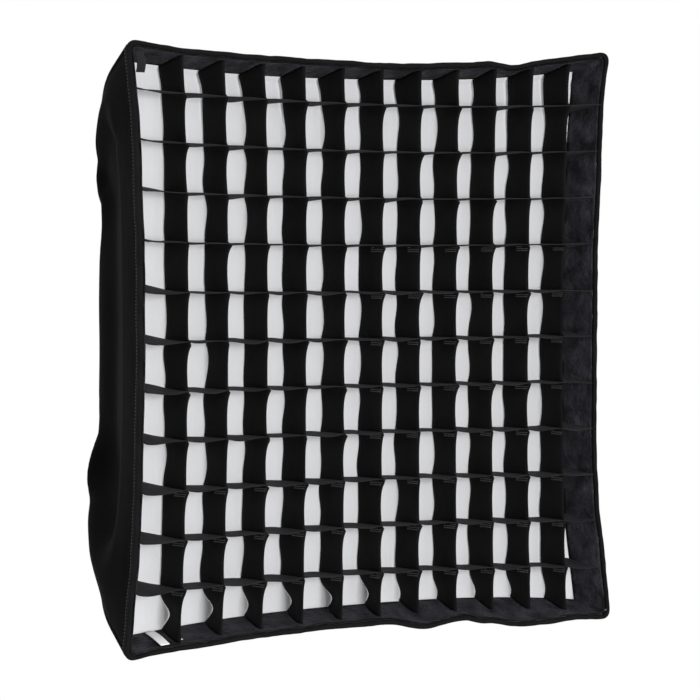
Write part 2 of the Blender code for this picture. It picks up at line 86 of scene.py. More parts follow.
def sag(depth, across):
    return shell["bow"] * (1 - max(depth, 0.0) / shell["depth"]) * (1 - abs(across) ** shell["bowPower"])


def wallPlace(side, across, depth, inset=0.0, lift=0.0):
    # across runs from -1 at one corner to 1 at the next; lift stands the cloth off the wall
    half, radius = section(depth)
    half, radius = half - inset, radius - inset
    corner = half - radius + radius / root2
    along = across * corner
    over = max(abs(along) - (half - radius), 0.0)
    out = half - radius + math.sqrt(max(radius * radius - over * over, 0.0)) + lift - sag(depth, across)
    (fx, fz), (ax, az) = sides[side]
    return Vector((fx * out + ax * along, frontY + depth, fz * out + az * along))


def loopPlace(s, depth, inset, lift=0.0):
    # s runs once round all four sides
    turn = (s % 1.0) * 4
    index = min(int(turn), 3)
    return wallPlace(list(sides)[index], 2 * (turn - index) - 1, depth, inset, lift)


def wallOut(along, depth, inset):
    half, radius = section(depth)
    half, radius = half - inset, radius - inset
    return half - sag(depth, along / (half - radius + radius / root2))


settle = {
    "middle": 0.0046, "tilt": 0.0125, "back": (0.10, 0.31),
    "slip": 0.0065, "slipAcross": (0.245, 0.29),
    "spread": 0.0065, "spreadAcross": (0.19, 0.30), "spreadDown": (0.17, 0.30), "spreadBack": (0.05, 0.31)}


def drop(x, depth):
    # the mouth hangs a little low on the grid, most at the left
    return (settle["middle"] - settle["tilt"] * x) * (1 - smooth(depth, *settle["back"]))


def slip(x, depth):
    # and its left side sits a little further out
    return settle["slip"] * smooth(-x, *settle["slipAcross"]) * (1 - smooth(depth, *settle["back"]))


def spread(x, z, depth):
    # the lower right corner stands out a little
    corner = smooth(x, *settle["spreadAcross"]) * smooth(-z, *settle["spreadDown"])
    return settle["spread"] * corner * (1 - smooth(depth, *settle["spreadBack"]))


def hung(place):
    depth = place.y - frontY
    place.z -= drop(place.x, depth)
    place.x -= slip(place.x, depth)
    place.x += spread(place.x, place.z, depth)
    return place


def hang(bm):
    for vert in bm.verts:
        vert.co = hung(vert.co.copy())
    return bm


def ripple(point, scale, seed=0.0):
    return noise.noise(Vector(point) * scale + Vector((seed, seed * 0.37, -seed)))


def smooth(value, low, high):
    part = min(max((value - low) / (high - low), 0.0), 1.0)
    return part * part * (3 - 2 * part)


def hump(value, centre, width):
    return math.exp(-((value - centre) / width) ** 2)


# making pieces
def clothGrid(across, deep, size, place):
    # a flat net of cloth, laid where place(s, t) says; its UV keeps the cut's own size in metres
    bm = bmesh.new()
    uv = bm.loops.layers.uv.new("cloth")
    bmesh.ops.create_grid(bm, x_segments=across, y_segments=deep, size=0.5)
    for face in bm.faces:
        for loop in face.loops:
            loop[uv].uv = ((loop.vert.co.x + 0.5) * size[0], (loop.vert.co.y + 0.5) * size[1])
    for vert in bm.verts:
        vert.co = place(vert.co.x + 0.5, vert.co.y + 0.5)
    return bm


def faceAway(bm, centre):
    # turns an open sheet so that most of its faces point away from a place
    bm.normal_update()
    middle = Vector(centre)
    outwards = sum(face.normal.dot(face.calc_center_median() - middle) * face.calc_area() for face in bm.faces)
    if outwards < 0:
        bmesh.ops.reverse_faces(bm, faces=bm.faces)


def piece(bm, name, finish, body, stands=(), thickness=0.0, innerFinish=None, sharp=None,
          bevel=0.0):
    mesh = bpy.data.meshes.new(name)
    bm.to_mesh(mesh)
    bm.free()
    obj = bpy.data.objects.new(name, mesh)
    bpy.context.scene.collection.objects.link(obj)
    mesh.materials.append(finish)
    if innerFinish:
        mesh.materials.append(innerFinish)
    mesh.shade_smooth()
    if sharp:
        mesh.set_sharp_from_angle(angle=math.radians(sharp))
    if thickness:
        wall = obj.modifiers.new("thickness", "SOLIDIFY")
        wall.thickness = thickness
        wall.offset = 0
        wall.use_quality_normals = True
        if innerFinish:
            wall.material_offset = 1
    if bevel:
        edge = obj.modifiers.new("edges", "BEVEL")
        edge.width = bevel
        edge.segments = 2
        edge.limit_method = "ANGLE"
        edge.angle_limit = math.radians(35)
        edge.harden_normals = True
    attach(obj, body)
    if stands:
        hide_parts(*stands)
    return obj


def clothArea(bm):
    return sum(face.calc_area() for face in bm.faces)


def fromFrame(node):
    # the frame's own solid as a clean mesh: corners merged and flat faces joined
    bm = bmesh.new()
    bm.from_mesh(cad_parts[node].data)
    bmesh.ops.remove_doubles(bm, verts=bm.verts, dist=2e-5)
    bmesh.ops.dissolve_limit(bm, angle_limit=math.radians(0.8), verts=bm.verts, edges=bm.edges)
    bmesh.ops.recalc_face_normals(bm, faces=bm.faces)
    return bm


def tubeAlong(points, radius, name, facets=8, closed=False):
    # a round cord of cloth along points, returned as a bmesh
    curve = bpy.data.curves.new(name, "CURVE")
    curve.dimensions = "3D"
    curve.bevel_depth = radius
    curve.bevel_resolution = max(facets // 4, 1)
    curve.use_fill_caps = not closed
    line = curve.splines.new("POLY")
    line.points.add(len(points) - 1)
    for spot, place in zip(line.points, points):
        spot.co = (*place, 1)
    line.use_cyclic_u = closed
    holder = bpy.data.objects.new(name + "Line", curve)
    bpy.context.scene.collection.objects.link(holder)
    bpy.context.view_layer.update()
    mesh = bpy.data.meshes.new_from_object(holder.evaluated_get(bpy.context.evaluated_depsgraph_get()))
    bm = bmesh.new()
    bm.from_mesh(mesh)
    bpy.data.objects.remove(holder)
    bpy.data.meshes.remove(mesh)
    bmesh.ops.remove_doubles(bm, verts=bm.verts, dist=1e-5)
    bmesh.ops.recalc_face_normals(bm, faces=bm.faces)
    return bm


def addStitch(bm, place, along, normal, length, width=0.0007, height=0.0004):
    # one thread showing on the cloth, as a small rounded grain
    along = along.normalized()
    across = normal.cross(along).normalized()
    axes = Matrix((along * length / 2, across * width / 2, normal.normalized() * height / 2))
    turn = axes.transposed().to_4x4()
    bmesh.ops.create_icosphere(bm, subdivisions=1, radius=1, matrix=Matrix.Translation(place) @ turn)


# materials
def shaderOf(name, color, roughness, metallic=0.0):
    made = bpy.data.materials.new(name)
    made.use_nodes = True
    shader = made.node_tree.nodes["Principled BSDF"]
    shader.inputs["Base Color"].default_value = (*color, 1)
    shader.inputs["Roughness"].default_value = roughness
    shader.inputs["Metallic"].default_value = metallic
    return made, made.node_tree, shader


def threads(tree, source, period, direction):
    # one set of threads; period is in metres
    wave = tree.nodes.new("ShaderNodeTexWave")
    wave.wave_type = "BANDS"
    wave.bands_direction = direction
    wave.inputs["Scale"].default_value = 0.31416 / period
    wave.inputs["Distortion"].default_value = 0.4
    wave.inputs["Detail"].default_value = 1.0
    tree.links.new(source, wave.inputs["Vector"])
    return wave.outputs["Fac"]


def mathNode(tree, operation, first, second):
    node = tree.nodes.new("ShaderNodeMath")
    node.operation = operation
    for socket, value in zip(node.inputs, (first, second)):
        if isinstance(value, (int, float)):
            socket.default_value = value
        else:
            tree.links.new(value, socket)
    return node.outputs[0]


def bumpFrom(tree, shader, height, distance, strength=1.0, previous=None):
    bump = tree.nodes.new("ShaderNodeBump")
    bump.inputs["Distance"].default_value = distance
    bump.inputs["Strength"].default_value = strength
    tree.links.new(height, bump.inputs["Height"])
    if previous:
        tree.links.new(previous, bump.inputs["Normal"])
    tree.links.new(bump.outputs["Normal"], shader.inputs["Normal"])
    return bump.outputs["Normal"]


def noiseFrom(tree, source, scale, detail=3.0, rough=0.5):
    node = tree.nodes.new("ShaderNodeTexNoise")
    node.inputs["Scale"].default_value = scale
    node.inputs["Detail"].default_value = detail
    node.inputs["Roughness"].default_value = rough
    tree.links.new(source, node.inputs["Vector"])
    return node.outputs["Fac"]


def rampFrom(tree, factor, stops):
    ramp = tree.nodes.new("ShaderNodeValToRGB")
    while len(ramp.color_ramp.elements) < len(stops):
        ramp.color_ramp.elements.new(0.5)
    for element, (place, color) in zip(ramp.color_ramp.elements, stops):
        element.position = place
        element.color = (*color, 1)
    tree.links.new(factor, ramp.inputs["Fac"])
    return ramp.outputs["Color"]


def scaled(color, amount):
    return tuple(min(c * amount, 1.0) for c in color)


def grey(value):
    return (value,) * 3


def shares(tree, first, firstShare, second, secondShare):
    # two patterns added together by share
    parts = [mathNode(tree, "MULTIPLY", *pair) for pair in ((first, firstShare), (second, secondShare))]
    return mathNode(tree, "ADD", *parts)


def stretchedCoords(tree, source, scale):
    spread = tree.nodes.new("ShaderNodeMapping")
    spread.inputs["Scale"].default_value = scale
    tree.links.new(source, spread.inputs["Vector"])
    return spread.outputs["Vector"]


def wovenCloth(name, look):
    made, tree, shader = shaderOf(name, look["color"], look["roughness"])
    coords = tree.nodes.new("ShaderNodeTexCoord")
    uv, place = coords.outputs["UV"], coords.outputs["Object"]
    warp = threads(tree, uv, look["thread"], "X")
    weft = threads(tree, uv, look["thread"] * 1.1, "Y")
    weave = mathNode(tree, "MULTIPLY", warp, weft)
    stretched = stretchedCoords(tree, place, look.get("stretch", (1, 1, 1)))
    crinkle = noiseFrom(tree, stretched, look["crinkleScale"], 4.0, 0.6)
    soft = bumpFrom(tree, shader, crinkle, look["crinkle"])
    bumpFrom(tree, shader, weave, look["weave"], 0.6, soft)
    patches = noiseFrom(tree, place, look["patchScale"], 3.0)
    mixed = shares(tree, patches, 0.7, weave, 0.3)
    dark = scaled(look["color"], 1 - look["vary"])
    light = scaled(look["color"], 1 + look["vary"])
    tree.links.new(rampFrom(tree, mixed, [(0.25, dark), (0.75, light)]), shader.inputs["Base Color"])
    shader.inputs["Metallic"].default_value = look.get("metallic", 0.0)
    shader.inputs["Sheen Weight"].default_value = look.get("sheen", 0.0)
    shader.inputs["Sheen Roughness"].default_value = 0.45
    shader.inputs["Sheen Tint"].default_value = (0.8, 0.8, 0.92, 1)
    shader.inputs["Specular IOR Level"].default_value = look.get("specular", 0.1)
    return made


def grainedMetal(name, look):
    made, tree, shader = shaderOf(name, look["color"], look["roughness"], 1.0)
    place = tree.nodes.new("ShaderNodeTexCoord").outputs["Object"]
    grain = noiseFrom(tree, stretchedCoords(tree, place, look["stretch"]), look["grainScale"], 5.0, 0.65)
    blotch = noiseFrom(tree, place, 35, 3.0)
    smoothest, roughest = look["roughness"] - look["spread"], look["roughness"] + look["spread"]
    rough = rampFrom(tree, shares(tree, grain, 0.5, blotch, 0.5), [(0.3, grey(smoothest)), (0.7, grey(roughest))])
    tint = rampFrom(tree, blotch, [(0.3, scaled(look["color"], 0.88)), (0.7, scaled(look["color"], 1.08))])
    tree.links.new(rough, shader.inputs["Roughness"])
    tree.links.new(tint, shader.inputs["Base Color"])
    bumpFrom(tree, shader, grain, look["grain"])
    return made


def mouldedPlastic(name, look):
    made, tree, shader = shaderOf(name, look["color"], look["roughness"])
    place = tree.nodes.new("ShaderNodeTexCoord").outputs["Object"]
    grain = noiseFrom(tree, place, look["grainScale"], 2.0)
    blotch = noiseFrom(tree, place, 60, 3.0)
    bumpFrom(tree, shader, grain, look["grain"])
    smoothest, roughest = look["roughness"] - look["smoother"], look["roughness"] + look["rougher"]
    rough = rampFrom(tree, blotch, [(0.3, grey(smoothest)), (0.7, grey(roughest))])
    tint = rampFrom(tree, blotch, [(0.3, scaled(look["color"], 0.8)), (0.7, scaled(look["color"], 1.25))])
    tree.links.new(rough, shader.inputs["Roughness"])
    tree.links.new(tint, shader.inputs["Base Color"])
    shader.inputs["Specular IOR Level"].default_value = 0.4
    return made


clothLooks = {
    "shellNylon": {  # plain black outer cloth
        "color": (0.0036, 0.0035, 0.0036), "roughness": 0.6, "specular": 0.004, "thread": 0.0007,
        "weave": 0.00006, "crinkle": 0.0012, "crinkleScale": 22, "patchScale": 9, "vary": 0.3},
    "uprightNylon": {  # the grid's upright strips
        "color": (0.0092, 0.0092, 0.0094), "roughness": 0.7, "specular": 0.03, "thread": 0.0007,
        "weave": 0.00005, "crinkle": 0.0008, "crinkleScale": 45, "patchScale": 25, "vary": 0.35},
    "levelNylon": {  # its level strips: the same cloth as the upright strips, with painted sheen, its colour set paler to stand in for the sheen they catch at a grazing angle
        "color": (0.021, 0.021, 0.0215), "roughness": 0.7, "specular": 0.03, "sheen": 0.02,
        "thread": 0.0007, "weave": 0.00005, "crinkle": 0.0008, "crinkleScale": 45,
        "patchScale": 25, "vary": 0.35},
    "bandNylon": {  # the puckered band round the grid
        "color": (0.031, 0.029, 0.0355), "roughness": 0.6, "specular": 0.05, "sheen": 0.02,
        "thread": 0.0008, "weave": 0.0001, "crinkle": 0.008, "crinkleScale": 70, "patchScale": 50,
        "vary": 0.85},
    "hookTape": {  # the fuzzy tape inside the mouth
        "color": (0.012, 0.012, 0.013), "roughness": 0.85, "specular": 0.1, "sheen": 0.05,
        "thread": 0.0012, "weave": 0.0003, "crinkle": 0.0006, "crinkleScale": 120,
        "patchScale": 60, "vary": 0.3},
    "binding": {  # the rolled edge
        "color": (0.0095, 0.0095, 0.0098), "roughness": 0.8, "specular": 0.012, "thread": 0.0011,
        "weave": 0.00018, "crinkle": 0.0008, "crinkleScale": 80, "patchScale": 40, "vary": 0.3},
    "diffusionCloth": {  # white, with long upright wrinkles
        "color": (0.88, 0.885, 0.9), "roughness": 0.8, "specular": 0.2, "thread": 0.0006,
        "weave": 0.00003, "crinkle": 0.005, "crinkleScale": 12, "stretch": (1.6, 1, 0.25),
        "patchScale": 10, "vary": 0.02},
    "silverLining": {  # the inside of the shell
        "color": (0.62, 0.63, 0.65), "roughness": 0.34, "specular": 0.5, "metallic": 0.9,
        "thread": 0.0009, "weave": 0.0001, "crinkle": 0.003, "crinkleScale": 40, "patchScale": 20,
        "vary": 0.12},
    "webbing": {
        "color": (0.012, 0.012, 0.0125), "roughness": 0.8, "specular": 0.12, "sheen": 0.04,
        "thread": 0.0009, "weave": 0.0003, "crinkle": 0.0004, "crinkleScale": 90, "patchScale": 40,
        "vary": 0.3},
    "sewingThread": {
        "color": (0.12, 0.12, 0.124), "roughness": 0.6, "specular": 0.2, "thread": 0.0004,
        "weave": 0.00002, "crinkle": 0.0001, "crinkleScale": 300, "patchScale": 80, "vary": 0.2},
    "labelCloth": {
        "color": (0.86, 0.86, 0.86), "roughness": 0.6, "specular": 0.3, "thread": 0.0005,
        "weave": 0.00002, "crinkle": 0.0004, "crinkleScale": 60, "patchScale": 30, "vary": 0.02},
}
cloth = {name: wovenCloth(name, look) for name, look in clothLooks.items()}
metalLooks = {
    "castAluminium": {
        "color": (0.62, 0.63, 0.65), "roughness": 0.38, "spread": 0.08,
        "stretch": (1, 1, 1), "grainScale": 900, "grain": 0.00006},
    "turnedAluminium": {  # its grain runs round the rings
        "color": (0.75, 0.76, 0.77), "roughness": 0.24, "spread": 0.07,
        "stretch": (1, 22, 1), "grainScale": 160, "grain": 0.00003},
    "springSteel": {
        "color": (0.5, 0.5, 0.51), "roughness": 0.26, "spread": 0.08,
        "stretch": (1, 1, 1), "grainScale": 700, "grain": 0.00002},
}
plasticLook = {
    "color": (0.012, 0.012, 0.0125), "roughness": 0.42, "smoother": 0.06, "rougher": 0.08,
    "grainScale": 1500, "grain": 0.00005}
hard = {name: grainedMetal(name, look) for name, look in metalLooks.items()}
hard["blackPlastic"] = mouldedPlastic("blackPlastic", plasticLook)
print("materials made")


# egg-crate grid
grid = {
    "cells": 12, "front": -0.0083, "deep": 0.042, "thickness": 0.0009, "inset": 0.0054, "endGap": 0.0004,
    "perCell": 14, "rows": 8, "pull": 0.031, "seed": 11}
gridHalf = wallOut(section(0)[0], 0, grid["inset"])
pitch = 2 * gridHalf / grid["cells"]
stripCount = grid["cells"] - 1
stripPlaces = [pitch * (i + 1) - gridHalf for i in range(stripCount)]
moods = grid["cells"] + 1
chance = random.Random(grid["seed"])


def moodsOf(*ranges):
    # a few chance numbers for each cell of each strip
    return [[tuple(chance.uniform(*span) for span in ranges) for _ in range(moods)] for _ in range(stripCount)]


uprightMoods = moodsOf((-0.35, 1), (-1, 1), (0.25, 1))
levelMoods = moodsOf((0.2, 1), (-1, 1))


def drawnIn(across):
    # the strips are drawn in with the sides, less than the sides themselves
    return 1 - grid["pull"] * (1 - min(abs(across) / gridHalf, 1) ** 2)


def stripEnd(place, share):
    return wallOut(place, grid["front"] + grid["deep"] * share, grid["inset"]) - grid["endGap"]


def cellOf(length, place):
    spot = (length / drawnIn(place) + gridHalf) / pitch
    cell = min(max(int(spot), 0), grid["cells"] - 1)
    return cell, min(max(spot - cell, 0.0), 1.0)


upright = {
    "flare": 0.0078, "flareLength": 0.13, "pinch": 0.2, "wave": 0.0046, "lean": 0.3,
    "bottomCurl": 0.0175, "bottomAt": 0.42, "bottomWidth": 0.27,
    "topCurl": 0.0045, "topAt": 0.55, "topWidth": 0.3,
    "lastPush": 0.0022, "lastReach": 0.2, "frontFade": 1.4, "rearFade": 1.3}


def uprightShift(number, height, share):
    # sideways wander: the front edge flares under each level strip, the rear edge waves
    place = stripPlaces[number]
    cell, up = cellOf(height, place)
    down = 1 - up
    bend, lean, flare = uprightMoods[number][cell]
    pinned = math.sin(math.pi * up)
    flareShape = math.exp(-down / upright["flareLength"]) * smooth(down, 0.0, 0.03)
    front = upright["flare"] * flare * (flareShape - upright["pinch"] * pinned)
    swing = bend * abs(bend) ** 0.5 * math.sin(math.pi * down ** 0.85)
    rear = upright["wave"] * (swing + upright["lean"] * lean * math.sin(2 * math.pi * up))
    if cell == 0:
        curl = hump(up, upright["bottomAt"], upright["bottomWidth"]) * (0.65 + 0.35 * bend)
        rear += upright["bottomCurl"] * curl * (1 - 0.5 * smooth(place, -0.06, 0.12))
    if cell == grid["cells"] - 1:
        curl = hump(up, upright["topAt"], upright["topWidth"])
        rear -= upright["topCurl"] * curl * (1 - 0.6 * smooth(place, 0, 0.2))
    if number == stripCount - 1:
        rear += upright["lastPush"] * max(1 - (height / upright["lastReach"]) ** 2, 0)
    return (1 - share) ** upright["frontFade"] * front + share ** upright["rearFade"] * rear


level = {
    "sag": 0.0036, "lean": 0.35, "turnsAt": 0.09, "rise": 0.0075, "outerRise": 0.0045, "riseFade": 1.6,
    "rightRise": 0.0048, "rightDrop": 0.004, "dropsAt": 0.05, "rightFade": 1.4, "frontFade": 1.5, "rearFade": 1.2}


def levelShift(number, length, share):
    # a level strip sags between crossings, and its rear edge rides up where it meets the side walls
    place = stripPlaces[number]
    cell, along = cellOf(length, place)
    bend, lean = levelMoods[number][cell]
    pinned = math.sin(math.pi * along)
    sink = level["sag"] * (bend * pinned + level["lean"] * lean * math.sin(2 * math.pi * along))
    front, rear = (0.25 * sink, -sink) if place > level["turnsAt"] else (-0.8 * sink, 0.45 * sink)
    end = stripEnd(place, share)
    left, right = (max(1 - (end + toward) / pitch, 0) for toward in (length, -length))
    rightEnd = level["rightRise"] if place < level["dropsAt"] else -level["rightDrop"]
    rear += (level["rise"] + level["outerRise"] * abs(place) / gridHalf) * left ** level["riseFade"]
    rear += rightEnd * right ** level["rightFade"]
    return (1 - share) ** level["frontFade"] * front + share ** level["rearFade"] * rear


def uprightStrip(number):
    place = stripPlaces[number]

    def lay(s, t):
        height = (2 * s - 1) * stripEnd(place, t) - drop(place, 0)
        x = place * drawnIn(height) + uprightShift(number, height, t)
        return Vector((x, frontY + grid["front"] + grid["deep"] * t, height))
    return lay


def levelStrip(number):
    place = stripPlaces[number]

    def lay(s, t):
        length = (2 * s - 1) * stripEnd(place, t)
        z = place * drawnIn(length) + levelShift(number, length, t)
        return Vector((length - slip(length, 0), frontY + grid["front"] + grid["deep"] * t, z))
    return lay


for number in range(stripCount):
    long = 2 * stripEnd(stripPlaces[number], 0.5)
    for kind, stripLay, finish in (("v", uprightStrip, "uprightNylon"), ("h", levelStrip, "levelNylon")):
        bm = clothGrid(grid["cells"] * grid["perCell"], grid["rows"], (long, grid["deep"]), stripLay(number))
        tag = f"{kind}{number + 1:02d}"
        strip = piece(bm, f"strip_{tag}", cloth[finish], "grid", [f"grid_strip_{tag}"],
                      grid["thickness"])
print("grid strips made")

# rows of slanted stitches that tack each crossing together, near the front edge
tacks = {
    "rows": 3, "perRow": 8, "length": 0.0025, "width": 0.0009, "height": 0.0006, "rowGap": 0.0021,
    "columnGap": 0.0024, "from": 0.004, "below": 0.0022, "proud": 0.0001, "lean": 0.6}
bm = bmesh.new()
for number in range(stripCount):
    strip = uprightStrip(number)
    place = stripPlaces[number]
    for crossing in stripPlaces[:8 if number > 4 else 3]:
        top = crossing * drawnIn(place) - tacks["below"]
        for row in range(tacks["rows"]):
            for column in range(tacks["perRow"]):
                t = (tacks["from"] + tacks["columnGap"] * column) / grid["deep"]
                height = top - tacks["rowGap"] * row
                s = ((height + drop(place, 0)) / stripEnd(place, t) + 1) / 2
                for face in (-1, 1):
                    spot = strip(s, t) + Vector((face * (grid["thickness"] / 2 + tacks["proud"]), 0, 0))
                    addStitch(bm, spot, Vector((0, 1, tacks["lean"])), Vector((face, 0, 0)),
                              tacks["length"], tacks["width"], tacks["height"])
piece(bm, "crossingTacks", cloth["sewingThread"], "grid", ())
print("tacks made")


# rolled binding of the front edge: its cross-section as (distance inside the shell, depth)
rim = {
    "points": 560, "wander": 0.0011, "stitchGap": 0.0036, "stitch": 0.0021, "stitchSize": 0.0007,
    "stitchAt": (-0.0021, 0.0042), "lumps": 0.0005, "fineLumps": 0.0002, "around": 2.46}
rimSection = [
    (-0.0004, 0.0062), (-0.0011, 0.0062), (-0.0016, 0.0050), (-0.0018, 0.0030), (-0.0021, 0.0008),
    (-0.0029, -0.0012), (-0.0036, -0.0032), (-0.0036, -0.0050), (-0.0028, -0.0064), (-0.0012, -0.0071),
    (0.0004, -0.0068), (0.0014, -0.0056), (0.0017, -0.0038), (0.0014, -0.0020), (0.0008, -0.0004),
    (0.0000, 0.0008), (-0.0003, 0.0030)]
# where the edge stands out from its line on each side, as (amount, centre, width)
stray = {
    "right": [(-0.003, 0.27, 0.04)],
    "top": [(0.0022, 0.144, 0.02), (-0.0045, 0.178, 0.03), (0.0012, -0.12, 0.09)],
    "left": [],
    "bottom": [(0.0085, 0.060, 0.034), (0.0110, 0.195, 0.058), (0.002, 0.137, 0.014)]}
topSink = 0.0022


def rimWander(s):
    # how far the soft edge strays from its line, outwards and backwards
    flat = loopPlace(s, 0.0, 0.0)
    side = list(sides)[min(int(s * 4), 3)]
    out = rim["wander"] * (1.4 * ripple(flat, 14, 2) + 0.7 * ripple(flat, 38, 5))
    along = flat.z if side == "right" else flat.x
    out += sum(amount * hump(along, centre, width) for amount, centre, width in stray[side])
    if side == "top":
        out -= topSink * (1 - (flat.x / shell["half"]) ** 2)
    return out * (1 - abs(2 * (s * 4 % 1) - 1) ** 24)


def rimPlace(s, inset, depth):
    return hung(loopPlace(s, depth, inset, rimWander(s)))


# bands round the mouth
puckers = {"fine": 120, "broad": 48, "fadeOut": (0.0, 0.03), "rightBunch": 1.6, "cornerBunch": 2.6}


def mouthBand(name, node, body, startDepth, endDepth, inset, thickness, pucker, finish, deep=10):
    def lay(s, t):
        depth = startDepth + (endDepth - startDepth) * t
        flat = loopPlace(s, depth, inset)
        # tucks lie across the band, and bunch up along the right side and in the lower right corner
        corner = hump(flat.x, 0.30, 0.05) * hump(flat.z, -0.29, 0.04)
        bunch = 1 + puckers["rightBunch"] * smooth(flat.x, 0.2, 0.29) + puckers["cornerBunch"] * corner
        wave = ripple((flat.x, flat.y * 0.3, flat.z), puckers["fine"])
        wave += 0.6 * ripple((flat.x, flat.y * 0.8, flat.z), puckers["broad"], 4)
        wave *= pucker * bunch * smooth(t, 0.0, 0.25)
        follows = rimWander(s) * (1 - smooth(depth, *puckers["fadeOut"]))
        return hung(loopPlace(s, depth, inset, follows - max(wave, -pucker * 0.4)))
    bm = clothGrid(480, deep, (2.44, endDepth - startDepth), lay)
    bmesh.ops.remove_doubles(bm, verts=bm.verts, dist=1e-5)
    area = clothArea(bm)
    band = piece(bm, name, finish, body, [node], thickness)
    return band


mouthBand("gridBand", "grid_band", "grid", -0.0048, 0.0334, inset=0.0040, thickness=0.0008, pucker=0.0013,
          finish=cloth["bandNylon"], deep=14)
mouthBand("diffuserBorder", "diffuser_border", "diffuser", 0.0356, 0.0575, inset=0.0045, thickness=0.0009,
          pucker=0.0003, finish=cloth["webbing"], deep=4)
mouthBand("lipTape", "lip_hook_tape", "box", 0.0008, 0.0578, inset=0.0027, thickness=0.001, pucker=0.0002,
          finish=cloth["hookTape"], deep=6)


# walls of the box
panels = {
    "thickness": 0.001, "across": 96, "deep": 64, "lip": 0.0045, "tension": 0.0016, "bulge": 0.018,
    "bulgeShares": {"left": (1.0, 0.65)}, "otherShares": (0.35, 0.35),
    "drawn": 0.020, "otherDrawn": 0.6, "drawnBack": (0.058, 0.12), "crease": 0.0035, "creaseWidth": 0.04}


def panelLift(side, across, depth):
    # soft tension folds that run from the rods' ends towards the middle of the panel
    share = depth / shell["depth"]
    tug = math.sin(math.pi * min(max(share, 0), 1))
    slant = math.sin((across * 1.1 + share * 0.8) * 9 + 1.3)
    fold = slant * smooth(abs(across), 0.3, 0.85) * (1 - smooth(abs(across), 0.9, 1.0))
    loose = ripple((across * 2.2, depth * 9, 0), 1.0, len(side)) * (1 - across ** 8)
    lift = panels["tension"] * tug * (0.8 * fold + loose)
    # the cloth fills out near the corners and is drawn flat in between
    low, high = panels["bulgeShares"].get(side, panels["otherShares"])
    lift += panels["bulge"] * tug ** 1.3 * (low * hump(across, 0.84, 0.15) + high * hump(across, -0.88, 0.12))
    flat = smooth(across, -0.93, -0.85) * (1 - smooth(across, 0.68, 0.88))
    drawn = panels["drawn"] * tug * flat * smooth(depth, *panels["drawnBack"])
    lift -= drawn * (1.0 if side == "left" else panels["otherDrawn"])
    if side == "left":
        # a crease across the upper corner, where the two tensions meet
        crease = hump(across + 0.82 + 0.35 * (share - 0.4), 0.0, panels["creaseWidth"])
        lift -= panels["crease"] * crease * smooth(share, 0.12, 0.3) * (1 - smooth(share, 0.75, 0.95))
    return lift * smooth(depth, 0.0, 0.03) * (1 - smooth(share, 0.9, 1.0)) * (1 - abs(across) ** 12)


edgeGap = 0.0006  # neighbouring panels stay this far apart
for index, side in enumerate(sides):
    def lay(s, t):
        across, depth = 2 * s - 1, (shell["depth"] + panels["lip"]) * t - panels["lip"]
        follows = rimWander((index + s * 0.9999) / 4) * (1 - smooth(depth, 0.0, 0.035))
        lift = panelLift(side, across, depth) + follows
        return hung(wallPlace(side, across * (1 - edgeGap), depth, edgeGap, lift))
    bm = clothGrid(panels["across"], panels["deep"], (0.61, 0.45), lay)
    faceAway(bm, (0, frontY + 0.17, 0))
    area = clothArea(bm)
    wall = piece(bm, f"shellPanel_{side}", cloth["shellNylon"], "box", [f"panel_{side}"],
                 panels["thickness"], cloth["silverLining"])
print("walls made")

# corded seams along the four corners of the box
seams = {"radius": 0.0017, "proud": 0.0006, "start": 0.003, "end": 0.336, "points": 60}
for corner, (sx, sz) in corners.items():
    line = []
    for i in range(seams["points"]):
        depth = seams["start"] + (seams["end"] - seams["start"]) * i / (seams["points"] - 1)
        reach = cornerReach(depth) + seams["proud"]
        line.append(hung(Vector((sx * reach / root2, frontY + depth, sz * reach / root2))))
    bm = tubeAlong(line, seams["radius"], "seam", facets=8)
    piece(bm, f"cornerSeam_{corner}", cloth["binding"], "box", ())

# elastic cuff that grips the speed ring
cuff = {"segments": 240, "gathers": 46, "depth": 0.0007, "radius": 0.08, "gathered": (-0.0245, -0.020)}
cuffLine = [
    (0.0846, -0.0260), (0.0842, -0.0225), (0.0828, -0.0203), (0.0808, -0.0192), (0.0799, -0.0180),
    (0.0796, -0.0165), (0.0799, -0.0152)]
bm = bmesh.new()
first = [bm.verts.new((r, y, 0)) for r, y in cuffLine]
edges = [bm.edges.new(pair) for pair in zip(first, first[1:])]
bmesh.ops.spin(bm, geom=first + edges, cent=(0, 0, 0), axis=(0, 1, 0), angle=2 * math.pi,
               steps=cuff["segments"], use_merge=True)
alongCuff = [edge for edge in bm.edges if abs(edge.verts[0].co.y - edge.verts[1].co.y) > 1e-6]
bmesh.ops.subdivide_edges(bm, edges=alongCuff, cuts=1)
uv = bm.loops.layers.uv.new("cloth")
for face in bm.faces:
    for loop in face.loops:
        turn = math.atan2(loop.vert.co.z, loop.vert.co.x)
        loop[uv].uv = (turn * cuff["radius"], loop.vert.co.y)
for vert in bm.verts:
    turn = math.atan2(vert.co.z, vert.co.x)
    fold = 0.5 + 0.5 * math.sin(turn * cuff["gathers"] + 2.2 * math.sin(turn * 5))
    fade = smooth(vert.co.y, *cuff["gathered"])
    scale = 1 + cuff["depth"] * fold * fade / cuff["radius"]
    vert.co.x, vert.co.z = vert.co.x * scale, vert.co.z * scale
faceAway(bm, (0, -0.03, 0))
cuffPiece = piece(bm, "gatheredCuff", cloth["shellNylon"], "box", ["rear_cuff"], 0.0008)
print("seams and cuff made")

